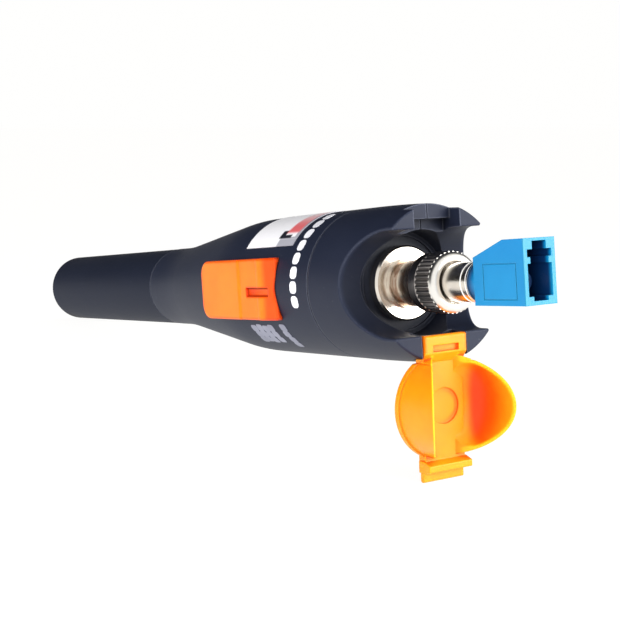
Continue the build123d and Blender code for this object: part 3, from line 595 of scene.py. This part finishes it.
def rowGroup():
    tree = bpy.data.node_groups.new("strokeRow", "GeometryNodeTree")
    tree.interface.new_socket("Geometry", in_out="OUTPUT", socket_type="NodeSocketGeometry")
    for name, kind in (("Geometry", "Geometry"), ("Count", "Int"), ("Start Angle", "Float"),
                       ("Step Angle", "Float"), ("Place", "Float"), ("Jitter", "Float"), ("Seed", "Int"),
                       ("Stroke", "Object"), ("Material", "Material")):
        tree.interface.new_socket(name, in_out="INPUT", socket_type="NodeSocket" + kind)
    graph = Graph(tree)
    asked = graph.node("NodeGroupInput")
    jitter = asked.sibling("Jitter")
    line = graph.node("GeometryNodeMeshLine", {"mode": "OFFSET"},
                      {"Count": asked.sibling("Count"), "Offset": (0, 0, 0)})
    stroke = graph.node("GeometryNodeObjectInfo", {"transform_space": "ORIGINAL"},
                        {"Object": asked.sibling("Stroke")}, "Geometry")
    turn = graph.node("GeometryNodeInputIndex")
    turn = turn.math("MULTIPLY_ADD", asked.sibling("Step Angle"), asked.sibling("Start Angle"))
    swing = graph.node("ShaderNodeCombineXYZ", inputs={"X": turn})
    spread = graph.node("FunctionNodeRandomValue", {"data_type": "FLOAT"},
                        {2: -jitter, 3: jitter, "Seed": asked.sibling("Seed")}, 1)
    shift = graph.node("ShaderNodeCombineXYZ", inputs={"X": spread + asked.sibling("Place")})
    strokes = graph.node("GeometryNodeInstanceOnPoints",
                         inputs={"Points": line, "Instance": stroke, "Rotation": swing})
    strokes = graph.node("GeometryNodeTranslateInstances",
                         inputs={"Instances": strokes, "Translation": shift, "Local Space": False})
    strokes = graph.node("GeometryNodeRealizeInstances", inputs={0: strokes})
    painted = graph.node("GeometryNodeSetMaterial",
                         inputs={"Geometry": strokes, "Material": asked.sibling("Material")})
    graph.node("NodeGroupOutput", inputs={0: painted})
    return tree


rowTree = rowGroup()


def strokeRow(name, values, size, material, bodyName):
    stroke = strokeMesh(name + "Stroke", *size, material)
    holder = addObject(name + "Row", bpy.data.meshes.new(name + "Row"))
    modifier = holder.modifiers.new("row", "NODES")
    modifier.node_group = rowTree
    sockets = {item.name: item.identifier for item in rowTree.interface.items_tree
               if item.in_out == "INPUT"}
    for key, value in dict(values, Stroke=stroke, Material=material).items():
        modifier[sockets[key]] = value
    bpy.context.view_layer.update()
    graph = bpy.context.evaluated_depsgraph_get()
    mesh = bpy.data.meshes.new_from_object(holder.evaluated_get(graph))
    mesh.transform(penMatrix)
    holder.modifiers.clear()
    bpy.data.objects.remove(holder)
    bpy.data.objects.remove(stroke)
    piece = addObject(name, mesh)
    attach(piece, bodyName)


inkWhite = plastic("inkWhite", **marks["white"]).material
inkGrey = plastic("inkGrey", **marks["grey"]).material
headRow = {"Count": marks["headCount"], "Start Angle": math.radians(marks["headStart"]),
           "Step Angle": math.radians(marks["headStep"]), "Place": marks["headPlace"],
           "Jitter": marks["headJitter"], "Seed": marks["headSeed"]}
strokeRow("headMarks", headRow, marks["headSize"], inkWhite, "pen")
for number, (place, start, count, seed) in enumerate(marks["sideRows"]):
    sideRow = {"Count": count, "Start Angle": math.radians(start),
               "Step Angle": math.radians(marks["sideStep"]), "Place": place,
               "Jitter": marks["sideJitter"], "Seed": seed}
    strokeRow("sideMarks%d" % number, sideRow, marks["sideSize"], inkGrey, "pen")
print("marks done")

# The floor's paper falls away behind the tail, so that the battery tube has room to be pulled out.
# Its sizes are in metres.
paper = {"size": 8.0, "behindTail": 0.002, "fallLength": 0.2, "fall": 0.06, "cloud": (0.01, 2.0),
         "base": (0.13, 0.13, 0.128, 1.0), "shade": (0.12, 0.12, 0.118, 1.0),
         "shader": {"Roughness": 0.9, "Specular IOR Level": 0.0,
                    "Emission Color": (1.0, 0.995, 0.985, 1.0), "Emission Strength": 0.945}}


def floorMesh(piece):
    edge = cadBounds[0][0] + piece["behindTail"]
    profile = ((piece["size"], 0.0), (edge, 0.0), (edge - piece["fallLength"], -piece["fall"]),
               (-piece["size"], -piece["fall"]))
    mesh = bpy.data.meshes.new("floor")
    bm = bmesh.new()
    rows = [[bm.verts.new((x, y, z)) for y in (-piece["size"], piece["size"])] for x, z in profile]
    for near, far in zip(rows, rows[1:]):
        bm.faces.new((near[0], near[1], far[1], far[0]))
    bm.to_mesh(mesh)
    bm.free()
    return mesh


floor = addObject("floor", floorMesh(paper))
floorPaper = Finish("floorPaper", paper["shader"])
floorCloud = floorPaper.noise(floorPaper.place(), *paper["cloud"])
floorPaper.into("Base Color", floorPaper.mix(floorCloud, paper["base"], paper["shade"]))
floor.data.materials.append(floorPaper.material)

# The studio is bright low down and ahead of the pen, and dark overhead and on the near side by its tail.
# Its pairs are steps in a direction's own parts, which run from -1 to 1.
studio = {"colour": (1.0, 0.998, 0.99, 1.0), "bright": 1.0, "dark": 0.015, "farSide": (0.6, 0.8),
          "farStep": (-0.75, -0.42), "upStep": (0.1, 0.17), "aheadStep": (-0.1, 0.35)}


def studioWorld(look):
    world = bpy.data.worlds.new("studio")
    world.use_nodes = True
    sky = Graph(world.node_tree)
    background = sky.tree.nodes["Background"]
    dx, dy, dz = sky.node("ShaderNodeTexCoord", output="Generated").axes()
    far = (dy * look["farSide"][1] + dx * look["farSide"][0]).step(*look["farStep"])
    low = far * (1.0 - dz.step(*look["upStep"]))
    glow = low.either(dx.step(*look["aheadStep"]))
    background.inputs["Color"].default_value = look["colour"]
    sky.feed(background.inputs["Strength"], glow * (look["bright"] - look["dark"]) + look["dark"])
    return world


bpy.context.scene.world = studioWorld(studio)

# Soft boxes, in metres from the middle of the head. Two of them aren't mirrored in the metal.
softBoxes = {"fillBox": {"away": (0.3, -0.7, 0.1), "size": (0.7, 0.5), "power": 9.0, "mirrored": False},
             "frontBox": {"away": (0.7, 0.25, 0.2), "size": (0.5, 0.5), "power": 4.2, "mirrored": False},
             "sideBox": {"away": (0.62, 0.42, 0.12), "size": (0.5, 0.45), "power": 5.0, "mirrored": True}}
headMiddle = pen(-20, 0, 0)


def softBox(name, away, size, power, mirrored):
    light = bpy.data.lights.new(name, "AREA")
    light.shape = "RECTANGLE"
    light.size, light.size_y = size
    light.energy = power
    holder = addObject(name, light)
    holder.location = headMiddle + Vector(away)
    aim = headMiddle - holder.location
    holder.rotation_euler = aim.to_track_quat("-Z", "Y").to_euler()
    holder.visible_glossy = mirrored


for boxName, box in softBoxes.items():
    softBox(boxName, **box)

# The camera's place and directions are in the pen's frame
view = {"sensor": 36.0, "lens": 65.55, "place": (145.6, -110.8, 6.6), "along": (-0.860, 0.508, -0.053),
        "up": (-0.012, 0.083, 0.996)}


def photoCamera(look):
    data = bpy.data.cameras.new("camera")
    data.sensor_width = look["sensor"]
    data.lens = look["lens"]
    camera = addObject("camera", data)
    ahead = Vector(look["along"]).normalized()
    right = ahead.cross(Vector(look["up"])).normalized()
    up = right.cross(ahead).normalized()
    turnPen = Matrix((along, across, upward)).transposed()
    columns = [turnPen @ right, turnPen @ up, -(turnPen @ ahead)]
    basis = Matrix(columns).transposed().to_4x4()
    camera.matrix_world = Matrix.Translation(pen(*look["place"])) @ basis
    return camera


bpy.context.scene.camera = photoCamera(view)
bpy.context.scene.view_settings.view_transform = "Standard"
print("stage done")
